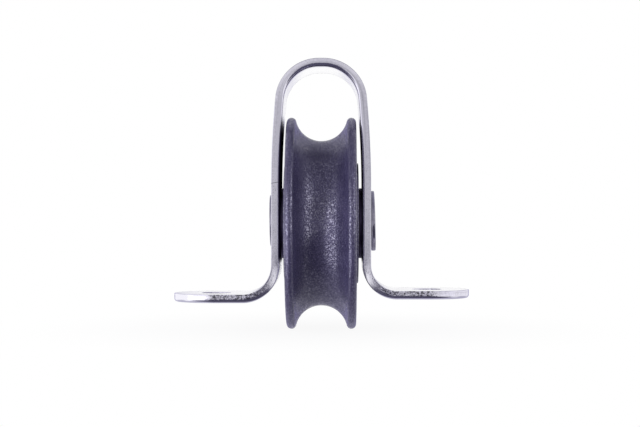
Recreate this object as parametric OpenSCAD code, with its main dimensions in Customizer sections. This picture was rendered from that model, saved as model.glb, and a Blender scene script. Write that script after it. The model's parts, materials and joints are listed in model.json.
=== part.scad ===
// Upright sailing block: a grooved sheave on a riveted axle, in a bracket folded from one strip of steel.
// X runs along the axle, Y along the rope and Z up from the surface that the two feet are screwed to.
// The origin lies on that surface, midway between the two screw holes.

/* [Sheave] */
// Outside diameter over the rims
sheave_d = 38; // [34:0.5:44]
// Width over the two rims
sheave_w = 12.4; // [11:0.1:15]
// Radius of the rope groove
groove_r = 4.7; // [4:0.1:5.2]
// Depth of the groove below the rims
groove_depth = 4.2; // [3.4:0.1:4.8]
// Diameter of the raised hub face on each side
hub_d = 21.6; // [15:0.2:25]
// Height of the hub face above the rim face
hub_rise = 0.4; // [0.2:0.05:1]
// Chamfer at both ends of the bore
bore_chamfer = 0.4; // [0.1:0.05:0.8]

/* [Axle] */
// Diameter of the axle where the sheave turns
axle_d = 8; // [6.5:0.1:9]
// Diameter of the spigot that is riveted over outside the left cheek
spigot_d = 6; // [4.5:0.1:6.4]
// Diameter of the flat head on the right
head_d = 10.8; // [9.5:0.1:13]
// Thickness of the flat head
head_t = 1; // [0.6:0.05:1.6]
// Bevel round the rim of the flat head
head_bevel = 0.2; // [0.1:0.05:0.4]
// Diameter of the formed head on the left
formed_d = 9.4; // [7:0.1:12]
// Height of the formed head
formed_h = 0.8; // [0.5:0.05:1.4]

/* [Thrust washers] */
// Outside diameter
washer_d = 12.6; // [10:0.1:14.5]
// Thickness
washer_t = 0.6; // [0.4:0.05:1]

/* [Bracket] */
// Thickness of the strip
strip_t = 1.5; // [1:0.1:2]
// Width of the strip
strip_w = 15; // [13.5:0.1:19]
// Height of the axle above the mounting surface
axle_h = 13.7; // [12:0.1:22]
// Daylight between the sheave's rims and the crown
rope_room = 8.6; // [6:0.1:14]
// Straight stretch at the top of the crown
crown_flat = 0.8; // [0.2:0.1:1.6]
// How much nearer to the middle each leg stands at the crown than at the axle
crown_draw = 0.7; // [0.4:0.05:0.9]
// How far each leg leans where it meets the crown, in degrees
leg_lean = 5.2; // [4:0.1:8]
// Inside radius of the bend above each foot
foot_bend_r = 4.9; // [3:0.1:6]
// From a cheek's outer face to its screw hole
screw_reach = 10.2; // [9.4:0.1:15]
// Diameter of the screw holes
screw_d = 5.2; // [4:0.1:6]

/* [Fits] */
// Running clearance of the sheave on the axle, on the radius
run_clear = 0.05; // [0.02:0.01:0.1]
// Side play between the sheave's hub and each washer
side_play = 0.1; // [0.05:0.01:0.3]
// Clearance of the axle in the cheeks, on the radius
seat_clear = 0.03; // [0.01:0.01:0.1]
// Clearance of the washers on the axle, on the radius
washer_clear = 0.1; // [0.05:0.01:0.3]

/* [Hidden] */
$fn = 96;

steel = [0.74, 0.73, 0.78];
washer_grey = [0.5, 0.5, 0.54];
moulded_grey = [0.27, 0.25, 0.32];

// Length by which a cutter passes the face that it cuts
over = 1;

// Sheave: the rim crest is a full round, a touch over the radius that is tangent to the rim face,
// the outside diameter and the groove, so that the groove meets it in a soft edge
sheave_r = sheave_d / 2;
rim_half = sheave_w / 2;
hub_half = rim_half + hub_rise;
bore_r = axle_d / 2 + run_clear;
groove_centre_r = sheave_r - groove_depth + groove_r;
crest_b = rim_half + groove_depth;
crest_c = pow(groove_r - groove_depth, 2) + pow(rim_half, 2) - pow(groove_r, 2);
crest_tangent_r = crest_b - sqrt(pow(crest_b, 2) - crest_c);
crest_step = 0.01;
crest_r = crest_step * (ceil(crest_tangent_r / crest_step) + 2);
crest_centre = [sheave_r - crest_r, rim_half - crest_r];

// Bracket: half gap between the cheeks, then the arc of the crown's corners and the long arc of the legs,
// which meet at the lean without a kink
cheek_in = hub_half + side_play + washer_t;
cheek_out = cheek_in + strip_t;
crown_in_z = axle_h + sheave_r + rope_room;
corner_r = cheek_in - crown_draw - crown_flat / 2;
corner_z = crown_in_z - corner_r;
leg_r = corner_r + crown_draw / (1 - cos(leg_lean));
leg_z = corner_z - (leg_r - corner_r) * sin(leg_lean);
corner_steps = 32;
leg_steps = 5;
bend_x = cheek_out + foot_bend_r;
bend_z = strip_t + foot_bend_r;
screw_x = cheek_out + screw_reach;

// Formed head: the sphere that its cap is cut from
formed_r = (pow(formed_d / 2, 2) + pow(formed_h, 2)) / (2 * formed_h);

// Turns a shape made round Z so that it lies along X, with its upper end to the right
module along_x() {
    translate([0, 0, axle_h])
        rotate([0, 90, 0])
            children();
}

// Points along an arc, without its first one
function arc(centre, r, from, to, steps) =
    [for (i = [1:steps]) let (a = from + (to - from) * i / steps) centre + r * [cos(a), sin(a)]];

// Right half of the arch from its foot bend up to the top, outside the inner face by the given distance
function arch_side(out) = concat(
    [[cheek_in + out, bend_z], [cheek_in + out, leg_z]],
    arc([cheek_in - leg_r, leg_z], leg_r + out, 0, leg_lean, leg_steps),
    arc([crown_flat / 2, corner_z], corner_r + out, leg_lean, 90, corner_steps)
);

function mirrored(points) = [for (p = points) [-p.x, p.y]];
function backwards(points) = [for (i = [len(points) - 1:-1:0]) points[i]];

// Both legs and the crown, seen along the rope
module arch_section() {
    outer = arch_side(strip_t);
    inner = arch_side(0);
    polygon(concat(outer, backwards(mirrored(outer)), mirrored(inner), backwards(inner)));
}

// Bend above the right foot, and the foot out to its screw hole
module foot_section() {
    reach = bend_z + over;
    translate([bend_x, bend_z])
        intersection() {
            difference() {
                circle(bend_z);
                circle(foot_bend_r);
            }
            translate([-reach, -reach])
                square(reach);
        }
    translate([bend_x, 0])
        square([screw_x - bend_x, strip_t]);
}

// Half disc that ends the right foot, round its screw hole
module foot_end() {
    translate([screw_x, 0, 0])
        intersection() {
            cylinder(d = strip_w, h = strip_t);
            translate([0, -strip_w, -over])
                cube([strip_w, 2 * strip_w, strip_t + 2 * over]);
        }
}

module bracket() {
    color(steel)
        difference() {
            union() {
                rotate([90, 0, 0])
                    linear_extrude(strip_w, center = true) {
                        arch_section();
                        foot_section();
                        mirror([1, 0]) foot_section();
                    }
                foot_end();
                mirror([1, 0, 0]) foot_end();
            }
            for (side = [-1, 1])
                translate([side * screw_x, 0, -over])
                    cylinder(d = screw_d, h = strip_t + 2 * over);
            along_x() {
                cylinder(r = axle_d / 2 + seat_clear, h = cheek_out + over);
                mirror([0, 0, 1])
                    cylinder(r = spigot_d / 2 + seat_clear, h = cheek_out + over);
            }
        }
}

module sheave_section() {
    difference() {
        union() {
            translate([bore_r, -rim_half])
                square([crest_centre.x - bore_r, sheave_w]);
            translate([bore_r, -hub_half])
                square([hub_d / 2 - bore_r, 2 * hub_half]);
            for (side = [-1, 1])
                translate([crest_centre.x, side * crest_centre.y])
                    circle(crest_r);
        }
        translate([groove_centre_r, 0])
            circle(groove_r);
        for (side = [-1, 1])
            polygon([
                [bore_r, side * hub_half],
                [bore_r + bore_chamfer, side * hub_half],
                [bore_r, side * (hub_half - bore_chamfer)]
            ]);
    }
}

module sheave() {
    color(moulded_grey)
        along_x()
            rotate_extrude()
                sheave_section();
}

// Half section of the axle: formed head, spigot, bearing length and flat head, from left to right
module axle_section() {
    intersection() {
        translate([0, formed_r - cheek_out - formed_h])
            circle(formed_r);
        translate([0, -cheek_out - formed_h])
            square([formed_d / 2, formed_h]);
    }
    translate([0, -cheek_out])
        square([spigot_d / 2, strip_t]);
    translate([0, -cheek_in])
        square([axle_d / 2, cheek_in + cheek_out]);
    translate([0, cheek_out])
        polygon([
            [0, 0],
            [head_d / 2, 0],
            [head_d / 2, head_t - head_bevel],
            [head_d / 2 - head_bevel, head_t],
            [0, head_t]
        ]);
}

module axle_rivet() {
    color(steel)
        along_x()
            rotate_extrude()
                axle_section();
}

// Flat ring between a cheek and the sheave's hub, seated on the cheek; side is -1 left or 1 right
module thrust_washer(side) {
    color(washer_grey)
        along_x()
            translate([0, 0, side * (cheek_in - washer_t / 2)])
                difference() {
                    cylinder(d = washer_d, h = washer_t, center = true);
                    cylinder(r = axle_d / 2 + washer_clear, h = washer_t + 2 * over, center = true);
                }
}

module thrust_washer_left() {
    thrust_washer(-1);
}

module thrust_washer_right() {
    thrust_washer(1);
}

bracket();
sheave();
axle_rivet();
thrust_washer_left();
thrust_washer_right();
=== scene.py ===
"""Looks of an upright sailing block, laid out as an add-on and run as a script.

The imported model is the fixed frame: it gives the sizes and carries the pieces. Each piece is a surface
worked out with numpy in metres, in the frame's own axes: X along the axle, Y along the rope and Z up.
"""

import functools
import json
import math

import bmesh
import bpy
import numpy as np
from bpy.props import FloatProperty, FloatVectorProperty, PointerProperty
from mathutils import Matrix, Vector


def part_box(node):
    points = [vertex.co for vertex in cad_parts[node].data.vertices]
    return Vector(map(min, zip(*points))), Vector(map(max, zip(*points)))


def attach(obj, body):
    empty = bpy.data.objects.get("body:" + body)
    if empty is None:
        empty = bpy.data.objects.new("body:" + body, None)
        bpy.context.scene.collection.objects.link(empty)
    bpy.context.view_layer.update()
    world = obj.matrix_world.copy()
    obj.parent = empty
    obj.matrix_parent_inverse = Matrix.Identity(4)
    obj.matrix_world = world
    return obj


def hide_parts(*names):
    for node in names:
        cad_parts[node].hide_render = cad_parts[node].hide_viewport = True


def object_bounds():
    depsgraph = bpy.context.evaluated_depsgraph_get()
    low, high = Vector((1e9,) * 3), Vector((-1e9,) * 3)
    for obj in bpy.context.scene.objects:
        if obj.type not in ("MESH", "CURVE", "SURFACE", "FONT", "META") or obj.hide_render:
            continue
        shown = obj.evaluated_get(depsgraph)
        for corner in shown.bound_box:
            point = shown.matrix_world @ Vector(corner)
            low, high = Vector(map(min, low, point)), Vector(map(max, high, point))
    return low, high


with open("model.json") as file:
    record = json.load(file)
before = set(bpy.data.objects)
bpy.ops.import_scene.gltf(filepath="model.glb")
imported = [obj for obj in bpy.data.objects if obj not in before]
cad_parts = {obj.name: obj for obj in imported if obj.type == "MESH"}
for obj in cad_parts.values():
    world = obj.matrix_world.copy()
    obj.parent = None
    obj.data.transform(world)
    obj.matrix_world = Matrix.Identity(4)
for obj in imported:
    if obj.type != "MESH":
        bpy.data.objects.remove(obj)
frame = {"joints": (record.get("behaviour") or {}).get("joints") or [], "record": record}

bl_info = {
    "name": "Sailing block",
    "version": (1, 0, 0),
    "blender": (4, 5, 0),
    "location": "View3D > Sidebar > Block",
    "description": "Folds the strap, turns the sheave and sets the rivet of an upright sailing block",
    "category": "Object",
}

MM = 0.001

# Sizes that the frame gives
CAD_LOW, CAD_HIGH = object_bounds()
MOUNTS = {mount["name"]: mount["dims"] for mount in frame["record"]["mounts"]}
SCREW_X = MOUNTS["foot_screws"]["spacing_x_mm"] * MM / 2
SCREW_R = MOUNTS["foot_screws"]["hole_r_mm"] * MM
AXLE_Z = frame["joints"][0]["pos_m"][2]
STRAP_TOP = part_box("bracket")[1].z
STRAP_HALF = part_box("bracket")[1].y
SHEAVE_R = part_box("sheave")[1].y
HUB_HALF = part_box("sheave")[1].x
RIVET_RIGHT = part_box("axle_rivet")[1].x
HEAD_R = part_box("axle_rivet")[1].y
WASHER_IN, CHEEK_IN = (corner.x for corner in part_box("thrust_washer_right"))
WASHER_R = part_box("thrust_washer_right")[1].y

# How the edges swell where the strip is bent: the share of the free swell, how much more of it the tighter
# foot bends take, and the lengths over which it sets in and ends at the crown and at a foot bend
SWELL_SHARE = 0.17
FOOT_SWELL = 1.5
CROWN_EASE = 0.35 * MM
FOOT_EASE = 1.0 * MM

# Half length of the stretch of a cheek that is meshed as spokes round the axle's hole
CHEEK_REACH = 5.6 * MM

# How far past the axle's radius the rivet's heads take to sit high, and how far they are out of round
HEAD_EASE = 0.5 * MM
HEAD_RIPPLE = 0.004

# Points round the sheave and round the rivet and the washers
SHEAVE_STEPS = 288
ROUND_STEPS = 96


# Settings


def length(name, millimetres, description):
    """A length that the user may change, given in millimetres."""
    return FloatProperty(
        name=name, description=description, default=millimetres * MM, min=0.0, precision=5, unit="LENGTH"
    )


def angle(name, degrees, description):
    """An angle that the user may change, given in degrees."""
    return FloatProperty(name=name, description=description, default=math.radians(degrees), subtype="ANGLE")


def colour(name, value, description):
    """A linear colour that the user may change."""
    return FloatVectorProperty(
        name=name, description=description, default=value, size=3, min=0.0, max=1.0, subtype="COLOR"
    )


class StrapSettings(bpy.types.PropertyGroup):
    """Sizes and colours of the folded strap."""

    thickness: length("Thickness", 1.5, "Gauge of the strip")
    crown_flat: length("Crown flat", 0.8, "Straight stretch at the top of the crown")
    crown_draw: length("Crown draw", 0.7, "How much nearer to the middle a leg stands at the crown")
    leg_lean: angle("Leg lean", 5.2, "How far a leg leans where it meets the crown")
    foot_bend_r: length("Foot bend", 4.9, "Inside radius of the bend above a foot")
    bearing_hole_r: length("Bearing hole", 4.03, "Radius of the axle's hole in the right cheek")
    spigot_hole_r: length("Spigot hole", 3.03, "Radius of the axle's hole in the left cheek")
    crown_edge: length("Crown edge", 0.68, "Radius rolled onto the inner face's edge at the top of the crown")
    leg_edge: length("Leg edge", 0.38, "The same radius on the legs")
    bend_edge: length("Bend edge", 0.14, "The same radius in the upper half of the foot bends")
    foot_edge: length("Foot edge", 0.55, "The same radius on the feet")
    sheared_edge: length("Sheared edge", 0.1, "Radius left on the outer face's edge")
    foot_lift: length("Foot lift", 0.33, "How far the right foot stands high and the left one low")
    edge_swell: length("Edge swell", 2.4, "Width at each edge that swells and thins where the strip is bent")
    light: colour("Light steel", (0.83, 0.82, 0.86), "Colour of the polished steel")
    dark: colour("Dark steel", (0.76, 0.75, 0.8), "Colour along the brush marks")
    # Painted highlight: pale steel on the crown's inside, the foot bends and the left foot's end, in place of
    # reflections
    rubbed: colour("Rubbed steel", (0.97, 0.965, 0.98), "Colour of the crown's inside, the bends and the left end")
    # Painted shade: dark, dull colour on the inner face where the gap beside the sheave is in shade
    film: colour("Dark film", (0.03, 0.026, 0.055), "Colour of the film on the inner face beside the sheave")


class SheaveSettings(bpy.types.PropertyGroup):
    """Sizes and colours of the moulded sheave."""

    rim_half: length("Rim", 6.2, "Half width over the two rims")
    groove_r: length("Groove radius", 4.7, "Radius of the rope groove")
    groove_depth: length("Groove depth", 4.2, "Depth of the groove below the rims")
    hub_r: length("Hub", 10.8, "Radius of the raised hub face")
    bore_r: length("Bore", 4.05, "Radius of the bore")
    bore_chamfer: length("Bore chamfer", 0.4, "Chamfer at both ends of the bore")
    hub_round: length("Hub round", 0.15, "Round on the hub face's edge")
    dark: colour("Moulded dark", (0.024, 0.0205, 0.046), "Colour of the moulded plastic")
    light: colour("Moulded light", (0.24, 0.22, 0.33), "Colour of its grain and scuffs")


class RivetSettings(bpy.types.PropertyGroup):
    """Sizes and colours of the shouldered rivet."""

    axle_r: length("Axle", 4.0, "Radius where the sheave turns")
    spigot_r: length("Spigot", 3.0, "Radius through the left cheek")
    formed_r: length("Formed head", 4.7, "Radius of the formed head on the left")
    formed_h: length("Formed height", 0.42, "Height of the formed head at its edge")
    formed_crown: length("Formed crown", 0.12, "How much higher the formed head is in its middle")
    formed_round: length("Formed round", 0.3, "Round on the formed head's edge")
    head_round: length("Head round", 0.22, "Round on the flat head's edge")
    head_lip: length("Head lip", 0.2, "Hollow under the flat head's edge")
    head_thin: length("Head thinning", 0.2, "How much thinner the flat head is than the frame's")
    head_rise: length("Head rise", 0.42, "How far the heads sit above the axle's middle")
    head_tilt: angle("Head tilt", 1.9, "How far the heads stand off square after riveting")
    light: colour("Light steel", (0.5, 0.49, 0.54), "Colour of the bright steel")
    dark: colour("Dark steel", (0.2, 0.19, 0.23), "Colour in the tool marks")


class WasherSettings(bpy.types.PropertyGroup):
    """Sizes and colours of the thrust washers."""

    bore_r: length("Bore", 4.1, "Radius of the washer's hole")
    edge_round: length("Edge round", 0.1, "Round on the washer's edges")
    # Both colours are painted shade: the washers are darkened to stand for the shade in the narrow gaps beside the
    # sheave
    light: colour("Light steel", (0.1, 0.085, 0.15), "Colour of the washers, darkened as painted shade")
    dark: colour("Dark steel", (0.05, 0.042, 0.075), "Colour in their grain")


class StageSettings(bpy.types.PropertyGroup):
    """Camera and light."""

    lens: FloatProperty(name="Lens", description="Focal length on a 36 mm sensor, in mm", default=89.2)
    distance: length("Distance", 286.0, "From the camera to the axle")
    azimuth: angle("Azimuth", 0.6, "How far the camera stands to the right of the rope's line")
    height: length("Height", 15.45, "Height of the level camera above the feet")
    aside: length("Aside", 0.27, "How far left of the middle the camera points")
    floor: colour("Floor", (0.9, 0.9, 0.92), "Colour of the pale floor")


class BlockSettings(bpy.types.PropertyGroup):
    """All settings of the block."""

    strap: PointerProperty(type=StrapSettings)
    sheave: PointerProperty(type=SheaveSettings)
    rivet: PointerProperty(type=RivetSettings)
    washer: PointerProperty(type=WasherSettings)
    stage: PointerProperty(type=StageSettings)


# Surfaces


class Surface:
    """Grids of points that are welded into one closed mesh, with a value for each point under each name."""

    WELD = 2e-8

    def __init__(self, *names):
        self.points, self.faces, self.values = [], [], {name: [] for name in names}
        self.count = 0

    def add(self, points, wrap=False, **values):
        """Adds a grid of rows by columns; wrap joins its last column to its first."""
        rows, columns = points.shape[:2]
        index = np.arange(rows * columns).reshape(rows, columns) + self.count
        if wrap:
            index = np.concatenate([index, index[:, :1]], axis=1)
        quads = np.stack([index[:-1, :-1], index[:-1, 1:], index[1:, 1:], index[1:, :-1]], axis=-1)
        self.faces.append(quads.reshape(-1, 4))
        self.points.append(points.reshape(-1, 3))
        for name, stored in self.values.items():
            stored.append(np.broadcast_to(values[name], (rows, columns)).reshape(-1))
        self.count += rows * columns

    def mesh(self, name):
        """Welds equal points, makes a quad with two equal corners a triangle and writes the mesh."""
        points = np.concatenate(self.points)
        keys = np.round(points / self.WELD).astype(np.int64)
        _, first, welded = np.unique(keys, axis=0, return_index=True, return_inverse=True)
        quads = welded.reshape(-1)[np.concatenate(self.faces)]
        same = quads == np.roll(quads, -1, axis=1)
        whole = quads[~same.any(axis=1)]
        pinched = same.sum(axis=1) == 1
        corner = np.argmax(same[pinched], axis=1)[:, None]
        triangles = np.take_along_axis(quads[pinched], (corner + np.arange(1, 4)) % 4, axis=1)
        mesh = bpy.data.meshes.new(name)
        mesh.from_pydata(points[first].tolist(), [], whole.tolist() + triangles.tolist())
        for key, stored in self.values.items():
            layer = mesh.attributes.new(key, "FLOAT", "POINT")
            layer.data.foreach_set("value", np.concatenate(stored)[first].astype(np.float32))
        shell = bmesh.new()
        shell.from_mesh(mesh)
        bmesh.ops.recalc_face_normals(shell, faces=shell.faces)
        if any(not edge.is_manifold for edge in shell.edges):
            raise RuntimeError(f"{name} is not a closed surface")
        shell.to_mesh(mesh)
        shell.free()
        mesh.shade_smooth()
        return mesh


def add_piece(name, mesh, material, body, node):
    """Puts a finished mesh into the scene in place of its CAD node, on the body that carries it."""
    piece = bpy.data.objects.new(name, mesh)
    bpy.context.scene.collection.objects.link(piece)
    mesh.materials.append(material)
    piece.modifiers.new("Flat faces stay flat", "WEIGHTED_NORMAL")
    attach(piece, body)
    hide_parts(node)


def arc(centre, radius, start, stop, steps):
    """Points of a circle round a centre between two angles in degrees, as rows of two coordinates."""
    angles = np.radians(np.linspace(start, stop, steps + 1))
    return np.array(centre) + radius * np.stack([np.cos(angles), np.sin(angles)], axis=-1)


def line(start, stop, steps):
    """Evenly spaced points from start to stop, as rows of two coordinates."""
    return np.linspace(start, stop, steps + 1)


def turned(profile, steps, ripple=0.0):
    """Turns a profile of (x, radius) rows round the axle.

    The point at angle a has y = radius * sin(a) and z = axle height + radius * cos(a). A ripple swells
    the radius by that share, three times and five times a turn.
    """
    angles = np.linspace(0, 2 * math.pi, steps, endpoint=False)[None, :]
    x, radius = profile[:, 0, None], profile[:, 1, None]
    radius = radius * (1 + ripple * (0.6 * np.sin(3 * angles + 0.7) + 0.4 * np.sin(5 * angles)))
    return np.stack(
        [np.broadcast_to(x, radius.shape), radius * np.sin(angles), AXLE_Z + radius * np.cos(angles)], axis=-1
    )


# Strap: a flat blank in the strip's own coordinates, s along it and y across it, folded along a line of arcs


class StrapLine:
    """Middle line of the strip on the right, from the middle of the crown to the screw hole.

    It is six stretches of constant curvature: crown flat, crown corner, leg arc, upright cheek, foot bend
    and foot. A stretch of length l that starts at heading h and turns by k per length ends a chord of
    l * sin(k l / 2) / (k l / 2) away, along the heading h - k l / 2.
    """

    def __init__(self, strap):
        half = strap.thickness / 2
        corner_r = CHEEK_IN - strap.crown_draw - strap.crown_flat / 2
        leg_r = corner_r + strap.crown_draw / (1 - math.cos(strap.leg_lean))
        corner_z = STRAP_TOP - strap.thickness - corner_r
        leg_z = corner_z - (leg_r - corner_r) * math.sin(strap.leg_lean)
        bend_z = strap.thickness + strap.foot_bend_r
        bend_x = CHEEK_IN + bend_z
        right_angle = math.pi / 2
        turns = np.array([0, right_angle - strap.leg_lean, strap.leg_lean, 0, -right_angle, 0])
        lengths = np.array(
            [
                strap.crown_flat / 2,
                (corner_r + half) * (right_angle - strap.leg_lean),
                (leg_r + half) * strap.leg_lean,
                leg_z - bend_z,
                (strap.foot_bend_r + half) * right_angle,
                SCREW_X - bend_x,
            ]
        )
        self.curvature = turns / lengths
        ends = np.cumsum(lengths)
        self.start = np.concatenate([[0], ends[:-1]])
        self.heading = -np.concatenate([[0], np.cumsum(turns)[:-1]])
        steps = self.stride(lengths, self.curvature, self.heading)
        top = np.array([[0, STRAP_TOP - half]])
        self.place = np.concatenate([top, top + np.cumsum(steps, axis=0)[:-1]])
        self.lift = [self.start[4], self.start[5]], [0.0, strap.foot_lift]
        self.axle = self.start[3] + leg_z - AXLE_Z
        self.screw = ends[-1]
        foot = FOOT_SWELL * self.curvature[4]
        eases = [-CROWN_EASE, CROWN_EASE, -FOOT_EASE, FOOT_EASE, -FOOT_EASE, FOOT_EASE]
        self.bend = self.start[[2, 2, 4, 4, 5, 5]] + eases, [self.curvature[1], 0.0, 0.0, foot, foot, 0.0]

    @staticmethod
    def stride(run, curvature, heading):
        """From the start of a stretch to a point on it, as x and z."""
        chord = run * np.sinc(curvature * run / (2 * math.pi))
        middle = heading - curvature * run / 2
        return np.stack([chord * np.cos(middle), chord * np.sin(middle)], axis=-1)

    def fold(self, s, y, n, swell):
        """Carries points of the flat blank onto the folded strip.

        s runs along the strip from the middle of the crown, negative to the left, y across it and n
        outwards from its middle surface. In the bends, the squeezed side swells at the edges and the
        stretched side thins there, by a share of curvature times n that grows over the swell's width.
        The feet stand a little high or low, which sets in evenly over their bends.
        """
        s, y, n = np.broadcast_arrays(s, y, n)
        run = np.abs(s)
        i = np.clip(np.searchsorted(self.start, run, side="right") - 1, 0, len(self.start) - 1)
        run = run - self.start[i]
        place = self.place[i] + self.stride(run, self.curvature[i], self.heading[i])
        heading = self.heading[i] - self.curvature[i] * run
        near_edge = np.clip((np.abs(y) - STRAP_HALF + swell) / swell, 0, 1) ** 2
        bend = np.interp(np.abs(s), *self.bend)
        y = y - np.sign(y) * SWELL_SHARE * swell * near_edge * bend * n
        side = np.where(s < 0, -1.0, 1.0)
        x = side * (place[..., 0] - n * np.sin(heading))
        z = place[..., 1] + n * np.cos(heading) + side * np.interp(np.abs(s), *self.lift)
        return np.stack([x, y, z], axis=-1)


def edge_profile(thickness, sheared, rolled):
    """Section of the strip's edge from the outer face to the inner one, as rows.

    Gives the distance inside the outline, and n, with one column for each of the rolled radii.
    """
    quarter = np.radians(np.linspace(0, 90, 7))[:, None]
    wall = np.linspace(thickness / 2 - sheared + 0 * rolled, -thickness / 2 + rolled, 6)[1:-1]
    rounded = sheared + 0 * rolled
    inside = np.concatenate([rounded * (1 - np.sin(quarter)), 0 * wall, rolled * (1 - np.cos(quarter))])
    n = np.concatenate(
        [thickness / 2 - rounded * (1 - np.cos(quarter)), wall, -thickness / 2 + rolled * (1 - np.sin(quarter))]
    )
    return inside, n


def row(s, y):
    """Points of the blank in a straight row, where s or y is one value for all of them."""
    return np.stack(np.broadcast_arrays(s, y), axis=-1)


def rectangle_loop(s, y):
    """Closed loop round a rectangle through the given stations along and across, each corner once."""
    return np.concatenate([row(s[0], y[:-1]), row(s[:-1], y[-1]), row(s[-1], y[:0:-1]), row(s[:0:-1], y[0])])


def foot_loop(s, y, steps):
    """Closed loop round a foot: across it, out along one side, round the end and back along the other."""
    end = arc((s[-1], 0), y[-1], 90, -90, steps)
    return np.concatenate([row(s[0], y[:-1]), row(s[:-1], y[-1]), end[:-1], row(s[:0:-1], y[0])])


def round_hole(loop, spokes, centre, radius, rows=6):
    """Grid from a round hole out to a loop, each row a share of the way along straight spokes."""
    hole = np.stack([centre + radius * np.cos(spokes), radius * np.sin(spokes)], axis=-1)
    share = np.linspace(0, 1, rows)[:, None, None]
    return hole * (1 - share) + loop * share


def strap_surface(strap):
    """Outer face, inner face, outline and holes of the folded strap, on matching stations.

    The faces are grids across the plain stretches and rings of spokes round the four holes. The outline
    and the holes carry the edge's section round their loops.
    """
    path = StrapLine(strap)
    start, axle, screw = path.start, path.axle, path.screw
    across, end_steps = np.linspace(-1, 1, 19), 48
    cheek = np.linspace(axle - CHEEK_REACH, axle + CHEEK_REACH, 25)
    foot = np.linspace(start[5], screw, 13)
    half_arch = np.concatenate(
        [
            np.linspace(0, start[1], 3)[:-1],
            np.linspace(start[1], start[2], 49)[:-1],
            np.linspace(start[2], start[3], 17)[:-1],
            np.linspace(start[3], cheek[0], 5),
        ]
    )
    arch = np.concatenate([-half_arch[:0:-1], half_arch])
    shin = np.concatenate([np.linspace(cheek[-1], start[4], 3)[:-1], np.linspace(start[4], start[5], 37)])
    surface = Surface("along", "across", "edge", "gauge")

    def rolled(s):
        """Radius of the inner face's edge along the strip."""
        stations = (
            (0.6 * start[2], strap.crown_edge),
            (start[2], strap.leg_edge),
            (cheek[-1], strap.leg_edge),
            (start[4], strap.bend_edge),
            ((start[4] + start[5]) / 2, strap.bend_edge),
            (start[5], strap.foot_edge),
        )
        return np.interp(np.abs(s), *zip(*stations))

    def lay(s, y, n, edge, wrap=False):
        """Folds a grid of the blank and adds it."""
        points = path.fold(s, y, n, strap.edge_swell)
        gauge = n / strap.thickness + 0.5
        surface.add(points, wrap, along=s, across=y, edge=edge, gauge=gauge)

    def loops(inset):
        """Loops round the four holes: the two cheeks, then the two feet."""
        y = across * (STRAP_HALF - inset(axle))
        end = foot_loop(foot, across * (STRAP_HALF - inset(screw)), end_steps)
        return [rectangle_loop(cheek, y), rectangle_loop(-cheek, y), end, end * (-1, 1)]

    holes = [(axle, strap.bearing_hole_r), (-axle, strap.spigot_hole_r), (screw, SCREW_R), (-screw, SCREW_R)]
    spokes = [
        np.arctan2(loop[:, 1], loop[:, 0] - centre) for (centre, _), loop in zip(holes, loops(np.zeros_like))
    ]
    for face, inset in ((1, lambda s: strap.sheared_edge + 0 * s), (-1, rolled)):
        n = face * strap.thickness / 2
        for stations in (arch, shin, -shin):
            lay(stations[:, None], across * (STRAP_HALF - inset(stations[:, None])), n, 0.0)
        for (centre, radius), loop, angles in zip(holes, loops(inset), spokes):
            grid = round_hole(loop, angles, centre, radius + strap.sheared_edge)
            lay(grid[..., 0], grid[..., 1], n, 0.0, wrap=True)

    side = np.concatenate([half_arch[:-1], cheek[:-1], shin[:-1], foot])
    side = np.concatenate([-side[:0:-1], side])
    round_end = arc((screw, 0), STRAP_HALF, 90, -90, end_steps)[1:-1]
    outline = np.concatenate(
        [row(side, STRAP_HALF), round_end, row(side[::-1], -STRAP_HALF), round_end[::-1] * (-1, 1)]
    )
    outward = (outline - row(np.clip(outline[:, 0], -screw, screw), 0.0)) / STRAP_HALF
    inside, through = edge_profile(strap.thickness, strap.sheared_edge, rolled(outline[:, 0]))
    edge = outline[None] - outward[None] * inside[..., None]

    # The edge wall is 1 on its inner rows and fades to 0 where it meets the two faces
    wall = np.ones((len(inside), 1))
    wall[[0, -1]] = 0
    lay(edge[..., 0], edge[..., 1], through, wall, wrap=True)
    for (centre, radius), angles in zip(holes, spokes):
        inside, through = edge_profile(strap.thickness, strap.sheared_edge, strap.sheared_edge + 0 * angles)
        reach = radius + inside
        lay(centre + reach * np.cos(angles), reach * np.sin(angles), through, 0.0, wrap=True)
    return surface


# Turned pieces


def sheave_profile(sheave):
    """Closed section of the sheave as (x, radius) rows, from the bore's left end round to it again.

    The rope groove is an arc. Each rim crest is the full round that touches the rim face, the outside
    diameter and the groove, whose radius r solves r * r - 2 b r + c = 0.
    """
    bore, hub, rim = sheave.bore_r, sheave.hub_r, sheave.rim_half
    chamfer, fillet = sheave.bore_chamfer, sheave.hub_round
    groove_centre = SHEAVE_R - sheave.groove_depth + sheave.groove_r
    b = rim + sheave.groove_depth
    c = (sheave.groove_r - sheave.groove_depth) ** 2 + rim**2 - sheave.groove_r**2
    crest_r = b - math.sqrt(b * b - c)
    crest = (rim - crest_r, SHEAVE_R - crest_r)
    touch = math.degrees(math.atan2(groove_centre - crest[1], -crest[0]))
    right = np.concatenate(
        [
            line((0, bore), (HUB_HALF - chamfer, bore), 4)[1:],
            line((HUB_HALF - chamfer, bore), (HUB_HALF, bore + chamfer), 2)[1:],
            line((HUB_HALF, bore + chamfer), (HUB_HALF, hub - fillet), 8)[1:],
            arc((HUB_HALF - fillet, hub - fillet), fillet, 0, 90, 5)[1:],
            arc((rim + fillet, hub + fillet), fillet, 270, 180, 5),
            line((rim, hub + fillet), (rim, crest[1]), 10)[1:],
            arc(crest, crest_r, 0, touch, 22)[1:],
        ]
    )
    valley_angle = math.degrees(math.atan2(right[-1, 1] - groove_centre, right[-1, 0]))
    valley = arc((0, groove_centre), sheave.groove_r, valley_angle, -180 - valley_angle, 56)[1:-1]
    return np.concatenate([right, valley, right[::-1] * (-1, 1), [[0, bore]]])


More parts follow.
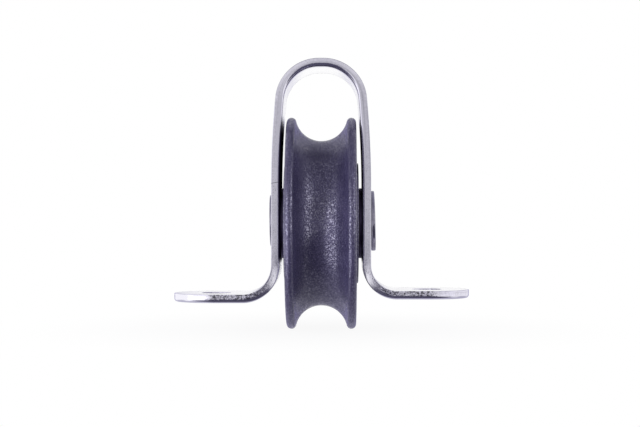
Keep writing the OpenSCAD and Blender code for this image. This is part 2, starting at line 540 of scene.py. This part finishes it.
def rivet_profile(rivet, cheek_out):
    """Half section of the rivet as (x, radius) rows from the middle of its formed head to its flat head."""
    soft, lip, face = rivet.formed_round, rivet.head_lip, RIVET_RIGHT - rivet.head_thin
    formed = -cheek_out - rivet.formed_h
    return np.concatenate(
        [
            line((formed - rivet.formed_crown, 0), (formed, rivet.formed_r - soft), 12),
            arc((formed + soft, rivet.formed_r - soft), soft, 180, 90, 6)[1:],
            line((-cheek_out, rivet.formed_r - 0.2 * soft), (-cheek_out, rivet.spigot_r), 3),
            line((-cheek_out, rivet.spigot_r), (-CHEEK_IN, rivet.spigot_r), 3)[1:],
            line((-CHEEK_IN, rivet.spigot_r), (-CHEEK_IN, rivet.axle_r), 2)[1:],
            line((-CHEEK_IN, rivet.axle_r), (cheek_out, rivet.axle_r), 12)[1:],
            line((cheek_out, rivet.axle_r), (cheek_out, HEAD_R - lip), 3)[1:],
            arc((cheek_out, HEAD_R), lip, 270, 360, 5)[1:],
            arc((face - rivet.head_round, HEAD_R - rivet.head_round), rivet.head_round, 90, 0, 6),
            line((face, HEAD_R - rivet.head_round), (face, 0), 10)[1:],
        ]
    )


def rivet_surface(rivet, cheek_out):
    """Turned rivet whose heads lean and sit high.

    Outside the cheeks, x grows by the tilt times the height under the axle, and z grows by the rise, which
    sets in just past the axle's radius.
    """
    profile = rivet_profile(rivet, cheek_out)
    points = turned(profile, ROUND_STEPS, HEAD_RIPPLE)
    x, z = points[..., 0], points[..., 2]
    head = np.clip((np.abs(x) - cheek_out) / (RIVET_RIGHT - cheek_out), 0, 1)
    outside = np.abs(x) > cheek_out - Surface.WELD
    high = outside * np.clip((profile[:, 1, None] - rivet.axle_r) / HEAD_EASE, 0, 1)
    points[..., 0] = x + head * math.tan(rivet.head_tilt) * (AXLE_Z - z)
    points[..., 2] = z + high * rivet.head_rise
    surface = Surface()
    surface.add(points, wrap=True)
    return surface


def washer_surface(washer, side):
    """Flat ring with rounded edges against one cheek; side is -1 left or 1 right."""
    r = washer.edge_round
    section = np.concatenate(
        [
            arc((WASHER_IN + r, WASHER_R - r), r, 180, 90, 4),
            arc((CHEEK_IN - r, WASHER_R - r), r, 90, 0, 4),
            line((CHEEK_IN, WASHER_R - r), (CHEEK_IN, washer.bore_r + r), 4)[1:],
            arc((CHEEK_IN - r, washer.bore_r + r), r, 0, -90, 4)[1:],
            arc((WASHER_IN + r, washer.bore_r + r), r, -90, -180, 4),
            line((WASHER_IN, washer.bore_r + r), (WASHER_IN, WASHER_R - r), 4)[1:],
        ]
    )
    surface = Surface()
    surface.add(turned(section * (side, 1), ROUND_STEPS), wrap=True)
    return surface


# Shader node groups and materials

# Where the strip's finish, its painted shade and its painted highlights change, each from the start to the end of
# a smooth step: stations along it from the middle of the crown, and distances across it from its middle line
CROWN_HIGHLIGHT, CROWN_WIDTH = (15 * MM, 11 * MM), (7.2 * MM, 3.5 * MM)
CROWN_LINE = (14 * MM, 9 * MM)
PAINTED_SHADE_TOP, PAINTED_SHADE_FOOT = (13 * MM, 17 * MM), (40 * MM, 38.5 * MM)
FOOT_TORN, FOOT_END = (43 * MM, 48 * MM), (56 * MM, 54 * MM)
NEAR_EDGE = (-3 * MM, 3 * MM)
BEND_AT, BEND_REACH = 42.6 * MM, (2.4 * MM, 1.0 * MM)
SCRATCH_AT, SCRATCH_SLANT, SCRATCH_WIDTH = 25.4 * MM, 0.3 * MM, (0.1 * MM, 0.03 * MM)

# Heights of the finest relief on the strap, the sheave and the turned pieces
STRAP_RELIEF, SHEAVE_RELIEF, TURNED_RELIEF = 0.05 * MM, 0.1 * MM, 0.012 * MM


def feed(tree, socket, value):
    """Gives an input socket a value, or a link from another socket."""
    if isinstance(value, bpy.types.NodeSocket):
        tree.links.new(value, socket)
    else:
        socket.default_value = value


def place(tree, kind, inputs=None, **settings):
    """Adds a node, sets its options and gives each named input a value or a link."""
    node = tree.nodes.new(kind)
    for key, value in settings.items():
        setattr(node, key, value)
    for key, value in (inputs or {}).items():
        feed(tree, node.inputs[key], value)
    return node


def use(tree, build, inputs):
    """Places the node group that a function builds, which is built only once, and returns its outputs."""
    name = build.__name__.replace("_", " ").capitalize()
    group = bpy.data.node_groups.get(name) or build(name)
    return place(tree, "ShaderNodeGroup", inputs, node_tree=group).outputs


def sums(tree, operation, *values):
    """Math node of the given operation on one or two values or sockets."""
    return place(tree, "ShaderNodeMath", dict(enumerate(values)), operation=operation).outputs[0]


def chain(tree, operation, *values):
    """Math nodes of one operation that take in the values one after the other."""
    return functools.reduce(lambda first, second: sums(tree, operation, first, second), values)


def product(tree, *values):
    """All the values times each other."""
    return chain(tree, "MULTIPLY", *values)


def total(tree, *values):
    """All the values added up."""
    return chain(tree, "ADD", *values)


def largest(tree, *values):
    """The greatest of the values."""
    return chain(tree, "MAXIMUM", *values)


def less(tree, first, second):
    """The first value minus the second."""
    return sums(tree, "SUBTRACT", first, second)


def absolute(tree, value):
    """A value without its sign."""
    return sums(tree, "ABSOLUTE", value)


def ramp(tree, value, low, high, to_low=0.0, to_high=1.0):
    """Smooth step of a value from one range to another."""
    inputs = {"Value": value, "From Min": low, "From Max": high, "To Min": to_low, "To Max": to_high}
    return place(tree, "ShaderNodeMapRange", inputs, interpolation_type="SMOOTHSTEP").outputs[0]


def blend(tree, share, first, second):
    """Mix of two colours."""
    return place(tree, "ShaderNodeMix", {0: share, 6: first, 7: second}, data_type="RGBA").outputs[2]


def effect(name, inputs, outputs):
    """New shader node group with named sockets; returns its tree, its inputs and its output node."""
    tree = bpy.data.node_groups.new(name, "ShaderNodeTree")
    for key in inputs:
        kind = "NodeSocketVector" if key == "Vector" else "NodeSocketFloat"
        tree.interface.new_socket(key, in_out="INPUT", socket_type=kind)
    for key in outputs:
        tree.interface.new_socket(key, in_out="OUTPUT", socket_type="NodeSocketFloat")
    return tree, tree.nodes.new("NodeGroupInput").outputs, tree.nodes.new("NodeGroupOutput")


def brush_marks(name):
    """Long fine streaks: noise that is stretched along the strip, in two widths."""
    tree, given, out = effect(name, ["Along", "Across", "Fineness"], ["Height", "Streak"])
    for socket, stretch, finer in (("Height", 0.02, 1.0), ("Streak", 0.008, 0.22)):
        fine = product(tree, given["Fineness"], finer)
        x = product(tree, given["Along"], fine, stretch)
        y = product(tree, given["Across"], fine)
        vector = place(tree, "ShaderNodeCombineXYZ", {"X": x, "Y": y}).outputs[0]
        noise = place(tree, "ShaderNodeTexNoise", {"Vector": vector, "Scale": 1.0, "Detail": 4.0})
        feed(tree, out.inputs[socket], noise.outputs["Fac"])
    return tree


def fine_grain(name):
    """Even grain: noise of one size, as a height, and a sparse choice of cells as flecks."""
    tree, given, out = effect(name, ["Vector", "Scale", "Rarity"], ["Height", "Flecks"])
    spread = {"Vector": given["Vector"], "Scale": given["Scale"]}
    noise = place(tree, "ShaderNodeTexNoise", {**spread, "Detail": 3.0, "Roughness": 0.6})
    cells = place(tree, "ShaderNodeTexVoronoi", spread)
    shade = place(tree, "ShaderNodeSeparateColor", {0: cells.outputs["Color"]}).outputs[0]
    chosen = ramp(tree, shade, given["Rarity"], total(tree, given["Rarity"], 0.04))
    core = ramp(tree, cells.outputs["Distance"], 0.45, 0.1)
    feed(tree, out.inputs["Height"], noise.outputs["Fac"])
    feed(tree, out.inputs["Flecks"], product(tree, chosen, core))
    return tree


def handling(name):
    """Broad soft patches, as handling leaves them, from 0 to 1."""
    tree, given, out = effect(name, ["Vector", "Scale"], ["Value"])
    spread = {"Vector": given["Vector"], "Scale": given["Scale"]}
    noise = place(tree, "ShaderNodeTexNoise", {**spread, "Detail": 5.0, "Distortion": 0.4})
    feed(tree, out.inputs["Value"], ramp(tree, noise.outputs["Fac"], 0.35, 0.68))
    return tree


def opaque(value, share=1.0):
    """A share of a colour setting, with alpha."""
    return (*(share * part for part in value), 1.0)


def new_material(name, **constants):
    """Material with a Principled shader whose named sockets are constant; returns it, its tree and the shader."""
    material = bpy.data.materials.new(name)
    material.use_nodes = True
    tree = material.node_tree
    shader = tree.nodes["Principled BSDF"]
    for key, value in constants.items():
        shader.inputs[key.replace("_", " ")].default_value = value
    return material, tree, shader


def dress(tree, shader, height, relief, **inputs):
    """Links the shader's named inputs, and raises the surface by a height times a relief in metres."""
    raised = place(tree, "ShaderNodeBump", {"Height": height, "Distance": relief, "Strength": 1.0}).outputs[0]
    for key, value in {**inputs, "Normal": raised}.items():
        feed(tree, shader.inputs[key.replace("_", " ")], value)


def strap_steel(strap):
    """Polished strip with brush marks along it, painted shade on the inner face beside the sheave, and sheared
    edges.

    An edge is torn on its outer part, most of all on the near side of the feet. The crown's inside, the
    left foot's end and the foot bends carry painted highlights, and one scratch crosses the left leg's edge.
    """
    material, tree, shader = new_material("Strap steel", Specular_IOR_Level=0.0)
    spot = place(tree, "ShaderNodeTexCoord").outputs["Object"]
    along, across, edge, gauge = (
        place(tree, "ShaderNodeAttribute", attribute_name=name).outputs["Fac"]
        for name in ("along", "across", "edge", "gauge")
    )
    down = absolute(tree, along)
    around = total(tree, product(tree, across, less(tree, 1.0, edge)), product(tree, gauge, strap.thickness))
    brush = use(tree, brush_marks, {"Along": along, "Across": around, "Fineness": 9000.0})
    grain = use(tree, fine_grain, {"Vector": spot, "Scale": 3000.0, "Rarity": 0.7})
    hands = use(tree, handling, {"Vector": spot, "Scale": 220.0})["Value"]

    # Torn share of the edge, then the painted shade on the inner face beside the sheave, where the gap is in
    # shade, which comes a little way round the left leg's edge
    foot = product(tree, ramp(tree, down, *FOOT_TORN, 0.1, 1.0), ramp(tree, down, *FOOT_END, 0.15, 1.0))
    near = ramp(tree, across, *NEAR_EDGE, 1.0, 0.25)
    torn = product(tree, edge, ramp(tree, gauge, 0.28, 0.48), foot, near)
    beside = product(tree, ramp(tree, down, *PAINTED_SHADE_TOP), ramp(tree, down, *PAINTED_SHADE_FOOT))
    depth = less(tree, gauge, ramp(tree, along, -MM, MM, 0.1, 0.0))
    film = product(tree, ramp(tree, depth, 0.12, 0.0), beside)

    # Painted highlights: the crown's inside, the left foot's end and the inner side of the foot bends are made
    # pale, in place of reflections of the white studio
    within = ramp(tree, absolute(tree, across), *CROWN_WIDTH)
    crown = product(tree, ramp(tree, gauge, 0.05, 0.01), ramp(tree, down, *CROWN_HIGHLIGHT), within)
    left_end = product(tree, edge, ramp(tree, along, -FOOT_END[1], -FOOT_END[0]))
    off_bend = absolute(tree, less(tree, down, BEND_AT))
    bend = product(tree, edge, ramp(tree, gauge, 0.7, 0.35), ramp(tree, off_bend, *BEND_REACH))
    rubbed = largest(tree, crown, left_end, bend)

    # Dark marks: streaks along the edges and a line on the crown's outer edge, then pits and the scratch
    streaks = product(tree, edge, ramp(tree, brush["Streak"], 0.48, 0.66, 0.0, 0.5))
    crown_line = product(tree, edge, ramp(tree, gauge, 0.9, 0.97), ramp(tree, down, *CROWN_LINE, 0.0, 0.8))
    off_scratch = absolute(tree, total(tree, along, SCRATCH_AT, product(tree, gauge, SCRATCH_SLANT)))
    scratch = product(tree, edge, ramp(tree, off_scratch, *SCRATCH_WIDTH), 0.7)
    pits = product(tree, torn, ramp(tree, grain["Height"], 0.54, 0.41))

    base = blend(tree, ramp(tree, brush["Streak"], 0.35, 0.7), opaque(strap.light), opaque(strap.dark))
    base = blend(tree, largest(tree, streaks, crown_line), base, opaque(strap.dark, 0.5))
    base = blend(tree, largest(tree, pits, scratch), base, opaque(strap.dark, 0.2))
    # Painted shade beside the sheave goes over the steel's own colours
    base = blend(tree, film, base, opaque(strap.film))
    # Painted highlights go over everything else
    base = blend(tree, rubbed, base, opaque(strap.rubbed))
    rough = total(tree, product(tree, hands, 0.05), 0.1, product(tree, torn, 0.1), product(tree, film, 0.3))
    rubble = product(tree, torn, total(tree, grain["Height"], grain["Flecks"]))
    height = total(tree, product(tree, brush["Height"], 0.06), rubble)
    # Metal everywhere except under the painted shade, which is dull
    unshaded = less(tree, 1.0, film)
    dress(tree, shader, height, STRAP_RELIEF, Base_Color=base, Metallic=unshaded, Roughness=rough)
    return material


def moulded_plastic(sheave):
    """Satin moulded plastic with a fine grain, pale flecks and scuffs, and rims made paler, partly as wear and
    partly as a painted highlight.
    """
    material, tree, shader = new_material(
        "Moulded plastic",
        IOR=1.5,
        Specular_Tint=(0.84, 0.81, 1.0, 1.0),
        Coat_Roughness=0.2,
        Coat_IOR=1.9,
        Sheen_Weight=0.12,
        Sheen_Roughness=0.4,
        Sheen_Tint=(0.6, 0.55, 1.0, 1.0),
    )
    spot = place(tree, "ShaderNodeTexCoord").outputs["Object"]
    x = place(tree, "ShaderNodeSeparateXYZ", {0: spot}).outputs["X"]
    grain = use(tree, fine_grain, {"Vector": spot, "Scale": 4000.0, "Rarity": 0.7})
    scuff = use(tree, handling, {"Vector": spot, "Scale": 260.0})["Value"]
    # Rim crests are made paler: partly wear, partly a painted highlight of the side light that they catch
    rim = ramp(tree, absolute(tree, x), sheave.rim_half - 1.1 * MM, sheave.rim_half - 0.7 * MM)
    wear_and_highlight = total(tree, product(tree, scuff, 0.08), product(tree, rim, 0.06))
    flecks = product(tree, grain["Flecks"], total(tree, product(tree, wear_and_highlight, 4.0), 0.15))
    tone = total(tree, wear_and_highlight, flecks, ramp(tree, grain["Height"], 0.4, 0.75, 0.0, 0.2))
    dress(
        tree,
        shader,
        total(tree, grain["Height"], grain["Flecks"]),
        SHEAVE_RELIEF,
        Base_Color=blend(tree, tone, opaque(sheave.dark), opaque(sheave.light)),
        Roughness=ramp(tree, scuff, 0.0, 1.0, 0.26, 0.2),
        Coat_Weight=largest(tree, grain["Flecks"], ramp(tree, grain["Height"], 0.5, 0.62)),
    )
    return material


def turned_steel(name, settings, rough, scale):
    """Steel with fine grain and handling marks, for the rivet and the washers."""
    material, tree, shader = new_material(name, Metallic=1.0)
    spot = place(tree, "ShaderNodeTexCoord").outputs["Object"]
    grain = use(tree, fine_grain, {"Vector": spot, "Scale": scale, "Rarity": 0.8})
    hands = use(tree, handling, {"Vector": spot, "Scale": 300.0})["Value"]
    tone = total(tree, product(tree, grain["Height"], 0.5), product(tree, hands, 0.5))
    dress(
        tree,
        shader,
        total(tree, grain["Height"], grain["Flecks"]),
        TURNED_RELIEF,
        Base_Color=blend(tree, tone, opaque(settings.dark), opaque(settings.light)),
        Roughness=ramp(tree, hands, 0.0, 1.0, rough + 0.08, rough),
    )
    return material


# Operators


class BLOCK_OT_fold_strap(bpy.types.Operator):
    """Fold the strap with its crown, cheeks and feet"""

    bl_idname = "sailing_block.fold_strap"
    bl_label = "Fold strap"

    def execute(self, context):
        strap = context.scene.sailing_block.strap
        mesh = strap_surface(strap).mesh("strap")
        add_piece("strap", mesh, strap_steel(strap), "frame", "bracket")
        return {"FINISHED"}


class BLOCK_OT_turn_sheave(bpy.types.Operator):
    """Turn the grooved sheave"""

    bl_idname = "sailing_block.turn_sheave"
    bl_label = "Turn sheave"

    def execute(self, context):
        sheave = context.scene.sailing_block.sheave
        surface = Surface()
        points = turned(sheave_profile(sheave), SHEAVE_STEPS)
        surface.add(np.concatenate([points, points[:1]]), wrap=True)
        mesh = surface.mesh("grooved_sheave")
        add_piece("grooved_sheave", mesh, moulded_plastic(sheave), "sheave", "sheave")
        return {"FINISHED"}


class BLOCK_OT_set_rivet(bpy.types.Operator):
    """Set the shouldered rivet with its two heads"""

    bl_idname = "sailing_block.set_rivet"
    bl_label = "Set rivet"

    def execute(self, context):
        block = context.scene.sailing_block
        mesh = rivet_surface(block.rivet, CHEEK_IN + block.strap.thickness).mesh("shouldered_rivet")
        material = turned_steel("Rivet steel", block.rivet, 0.16, 2400.0)
        add_piece("shouldered_rivet", mesh, material, "frame", "axle_rivet")
        return {"FINISHED"}


class BLOCK_OT_seat_washers(bpy.types.Operator):
    """Seat a thrust washer against each cheek"""

    bl_idname = "sailing_block.seat_washers"
    bl_label = "Seat washers"

    def execute(self, context):
        washer = context.scene.sailing_block.washer
        # The washers' material is dark as painted shade of the gaps beside the sheave
        material = turned_steel("Washer steel in painted shade", washer, 0.45, 2800.0)
        for name, side in (("left", -1), ("right", 1)):
            mesh = washer_surface(washer, side).mesh(f"washer_ring_{name}")
            add_piece(f"washer_ring_{name}", mesh, material, "frame", f"thrust_washer_{name}")
        return {"FINISHED"}


# Colours of the studio as the metal mirrors it, with alpha: the tent, its ends above and below, the shade beside
# the block's back and the dim opening behind the camera
WHITE = (1.0, 1.0, 1.0, 1.0)
TENT = (0.94, 0.93, 1.0, 1.0)
TENT_ENDS = (0.5, 0.49, 0.61, 1.0)
BACK_SHADE = (0.28, 0.25, 0.52, 1.0)
OPENING = (0.065, 0.06, 0.11, 1.0)

# Half width of the floor in metres, and the share of its colour that it throws back onto the block
FLOOR_HALF = 3.0
FLOOR_BOUNCE = 0.28

# Lamps: azimuth and elevation in degrees, width and height in metres, power in watts, and the only piece that
# each of them lights. They all stand at one distance.
LAMPS = {
    "Left softbox": (-50, 2, 0.7, 0.66, 0.38, None),
    "Right softbox": (56, 16, 0.5, 0.7, 0.15, None),
    "Left sheave light": (-52, -12, 0.6, 0.9, 6.0, "grooved_sheave"),
    "Right sheave light": (58, 16, 0.4, 0.7, 2.0, "grooved_sheave"),
}
LAMP_DISTANCE = 0.6
LAMP_COLOUR, SHEAVE_LAMP_COLOUR = (0.84, 0.82, 1.0), (0.8, 0.78, 1.0)


def light_path(tree):
    """Whether a ray sees the backdrop itself, from the camera or by a mirror, and the ray's other kinds."""
    path = place(tree, "ShaderNodeLightPath").outputs
    seen = largest(tree, path["Is Camera Ray"], path["Is Glossy Ray"], path["Is Transmission Ray"])
    return seen, path


def white_world(scene):
    """White background all round; only the studio's opening behind the camera, which is dim, shows in the metal.

    A direction has x to the right, y away from the camera and z up. The opening is a faint high part, a
    faint level band and a dark part below them.
    """
    world = bpy.data.worlds.new("White studio")
    scene.world = world
    world.use_nodes = True
    tree = world.node_tree
    tree.nodes.clear()
    seen, path = light_path(tree)
    way = place(tree, "ShaderNodeTexCoord").outputs["Generated"]
    x, y, z = place(tree, "ShaderNodeSeparateXYZ", {0: way}).outputs
    front = product(tree, y, -1.0)
    aside = absolute(tree, x)
    ahead = largest(tree, front, 0.05)
    bearing = sums(tree, "DIVIDE", aside, ahead)
    off_column = absolute(tree, less(tree, sums(tree, "DIVIDE", x, ahead), 0.16))

    # High part, which stands a little to the right and is strongest in the middle
    wide = product(tree, ramp(tree, off_column, 0.44, 0.26), ramp(tree, bearing, 0.1, 0.04, 0.3, 1.0))
    high = product(tree, wide, ramp(tree, z, 0.45, 0.15, 0.0, 0.38))

    # Level band, with a bright gap along its lower side, and a little stronger on the right
    band = product(tree, ramp(tree, aside, 0.97, 0.8), ramp(tree, z, 0.2, 0.1, 0.0, 0.38))
    band = product(tree, band, ramp(tree, z, -0.048, -0.038))
    gap = product(tree, ramp(tree, z, -0.012, -0.024), ramp(tree, aside, 0.06, 0.12))
    level = total(tree, product(tree, band, less(tree, 1.0, gap)), ramp(tree, x, -0.03, 0.02, 0.0, 0.08))

    # Dark part, a wedge that widens downwards
    fall = sums(tree, "DIVIDE", aside, largest(tree, product(tree, z, -1.0), 0.02))
    deep = product(tree, ramp(tree, fall, 2.8, 2.1), ramp(tree, z, -0.18, -0.28))
    wedge = largest(tree, ramp(tree, bearing, 0.15, 0.09), ramp(tree, fall, 0.95, 0.75), deep)
    below = product(tree, wedge, ramp(tree, z, -0.038, -0.048, 0.0, 0.97))
    opening = product(tree, largest(tree, high, level, below), ramp(tree, front, 0.15, 0.4))

    # Ends of the tent above and below, which come lower at the back, and the shade beside the block's back
    steep = absolute(tree, z)
    ends = product(tree, ramp(tree, y, 0.0, 0.3), ramp(tree, steep, 0.15, 0.4))
    ends = largest(tree, ends, ramp(tree, steep, 0.4, 0.75))
    back = product(tree, ramp(tree, y, 0.86, 0.95), ramp(tree, aside, 0.07, 0.16))
    tent = blend(tree, ramp(tree, y, 0.8, 0.95), TENT, WHITE)
    for share, shade in ((back, BACK_SHADE), (ends, TENT_ENDS), (opening, OPENING)):
        tent = blend(tree, share, tent, shade)
    colour_seen = blend(tree, path["Is Camera Ray"], tent, WHITE)
    strength = total(tree, product(tree, seen, 0.45), 0.55)
    light = place(tree, "ShaderNodeBackground", {"Color": colour_seen, "Strength": strength})
    place(tree, "ShaderNodeOutputWorld", {"Surface": light.outputs[0]})


def pale_floor(stage):
    """Floor under the sheave that keeps a soft shadow near the block and is plain white further off.

    Metal looks through it at the white tent, which goes on below.
    """
    mesh = bpy.data.meshes.new("floor")
    corners = [(x * FLOOR_HALF, y * FLOOR_HALF, CAD_LOW.z) for x, y in ((-1, -1), (1, -1), (1, 1), (-1, 1))]
    mesh.from_pydata(corners, [], [(0, 1, 2, 3)])
    floor = bpy.data.objects.new("floor", mesh)
    bpy.context.scene.collection.objects.link(floor)
    material, tree, shader = new_material("Pale floor", Roughness=0.8)
    seen, path = light_path(tree)
    tint = blend(tree, path["Is Diffuse Ray"], opaque(stage.floor), opaque(stage.floor, FLOOR_BOUNCE))
    feed(tree, shader.inputs["Base Color"], tint)
    spot = place(tree, "ShaderNodeTexCoord").outputs["Object"]
    x, y, _ = place(tree, "ShaderNodeSeparateXYZ", {0: spot}).outputs
    flat = place(tree, "ShaderNodeCombineXYZ", {"X": x, "Y": y}).outputs[0]
    reach = place(tree, "ShaderNodeVectorMath", {0: flat}, operation="LENGTH").outputs["Value"]
    glow = place(tree, "ShaderNodeEmission", {"Color": WHITE, "Strength": 1.0}).outputs[0]
    share = product(tree, seen, ramp(tree, reach, 0.0, 0.06, 0.93, 1.0))
    mix = place(tree, "ShaderNodeMixShader", {0: share, 1: shader.outputs[0], 2: glow}).outputs[0]
    feed(tree, tree.nodes["Material Output"].inputs["Surface"], mix)
    floor.visible_glossy = floor.visible_shadow = False
    mesh.materials.append(material)


def soft_lamp(name, azimuth, elevation, width, height, power, only):
    """Upright lamp that faces the block from an azimuth and elevation in degrees, as the camera's are counted.

    It lights every piece, or only the named one.
    """
    lamp = bpy.data.lights.new(name, "AREA")
    lamp.shape, lamp.size, lamp.size_y = "RECTANGLE", width, height
    lamp.energy, lamp.color = power, SHEAVE_LAMP_COLOUR if only else LAMP_COLOUR
    holder = bpy.data.objects.new(name, lamp)
    a, e = math.radians(azimuth), math.radians(elevation)
    holder.location = (
        LAMP_DISTANCE * math.cos(e) * math.sin(a),
        -LAMP_DISTANCE * math.cos(e) * math.cos(a),
        AXLE_Z + LAMP_DISTANCE * math.sin(e),
    )
    holder.rotation_euler = (math.pi / 2 - e, 0, a)
    bpy.context.scene.collection.objects.link(holder)
    if only:
        lit = bpy.data.collections.new(name)
        lit.objects.link(bpy.data.objects[only])
        holder.light_linking.receiver_collection = lit


class BLOCK_OT_light_stage(bpy.types.Operator):
    """Lay the pale floor, set the lamps and the world, and place the camera"""

    bl_idname = "sailing_block.light_stage"
    bl_label = "Light stage"

    def execute(self, context):
        scene, stage = context.scene, context.scene.sailing_block.stage
        scene.view_settings.view_transform = "Standard"
        white_world(scene)
        pale_floor(stage)
        for name, settings in LAMPS.items():
            soft_lamp(name, *settings)
        camera = bpy.data.cameras.new("Camera")
        camera.lens, camera.clip_start = stage.lens, 0.01
        holder = bpy.data.objects.new("Camera", camera)
        holder.location = (
            stage.distance * math.sin(stage.azimuth) - stage.aside,
            -stage.distance * math.cos(stage.azimuth),
            stage.height,
        )
        holder.rotation_euler = (math.pi / 2, 0, stage.azimuth)
        scene.collection.objects.link(holder)
        scene.camera = holder
        return {"FINISHED"}


class BLOCK_PT_panel(bpy.types.Panel):
    """Settings and steps of the block"""

    bl_label = "Sailing block"
    bl_space_type = "VIEW_3D"
    bl_region_type = "UI"
    bl_category = "Block"

    def draw(self, context):
        block = context.scene.sailing_block
        for settings in (block.strap, block.sheave, block.rivet, block.washer, block.stage):
            box = self.layout.box()
            for key in settings.__annotations__:
                box.prop(settings, key)
        for operator in OPERATORS:
            self.layout.operator(operator.bl_idname)


SETTINGS = (StrapSettings, SheaveSettings, RivetSettings, WasherSettings, StageSettings, BlockSettings)
OPERATORS = (
    BLOCK_OT_fold_strap,
    BLOCK_OT_turn_sheave,
    BLOCK_OT_set_rivet,
    BLOCK_OT_seat_washers,
    BLOCK_OT_light_stage,
)
CLASSES = (*SETTINGS, *OPERATORS, BLOCK_PT_panel)


def register():
    """Registers the settings, the operators and the panel."""
    for cls in CLASSES:
        bpy.utils.register_class(cls)
    bpy.types.Scene.sailing_block = PointerProperty(type=BlockSettings)


def unregister():
    """Removes what register added."""
    del bpy.types.Scene.sailing_block
    for cls in reversed(CLASSES):
        bpy.utils.unregister_class(cls)


def main():
    register()
    bpy.ops.sailing_block.fold_strap()
    bpy.ops.sailing_block.turn_sheave()
    bpy.ops.sailing_block.set_rivet()
    bpy.ops.sailing_block.seat_washers()
    bpy.ops.sailing_block.light_stage()


if __name__ == "__main__":
    main()
